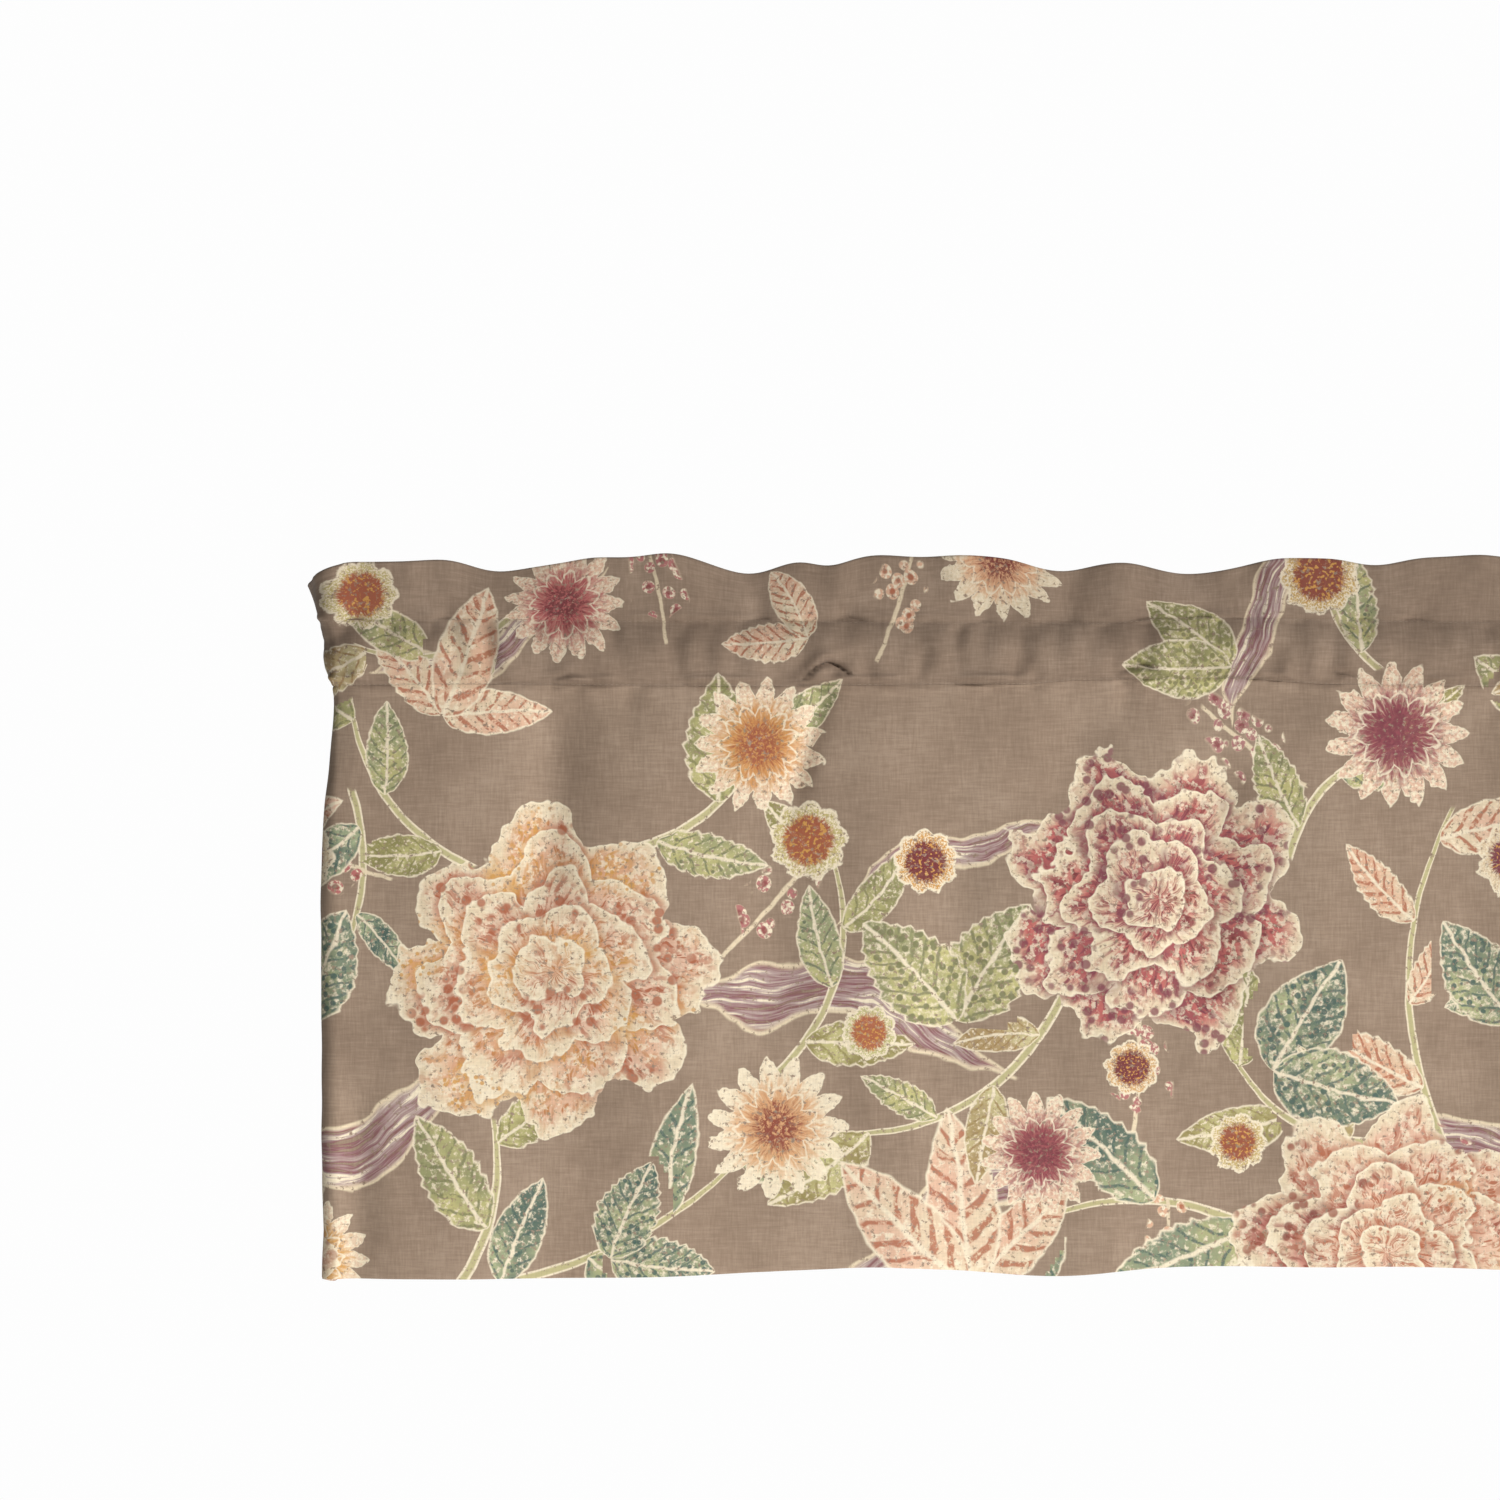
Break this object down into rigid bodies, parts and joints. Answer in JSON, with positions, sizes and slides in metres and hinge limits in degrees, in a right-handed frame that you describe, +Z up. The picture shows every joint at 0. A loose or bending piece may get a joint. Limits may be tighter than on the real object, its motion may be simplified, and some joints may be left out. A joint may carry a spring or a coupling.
{
  "type": "window valance",
  "caption": "Rod-pocket window valance in printed linen-look cloth: gathered crest, hollow pocket for a flat rod, softly folded hanging panel with hems, and short returns to the wall.",
  "frame": {"origin": "middle of the valance's top edge, in the plane of the seams", "axes": "+X to the viewer's right along the front, +Y back to the wall, +Z up; the front faces -Y"},
  "size_m": [1.2895, 0.0581, 0.4122],
  "materials": {
    "printed_linen": "matt slubby linen-look weave with a printed garden pattern"
  },
  "bodies": {
    "root": {"heading": "printed_linen", "panel": "printed_linen"}
  },
  "joints": []
}
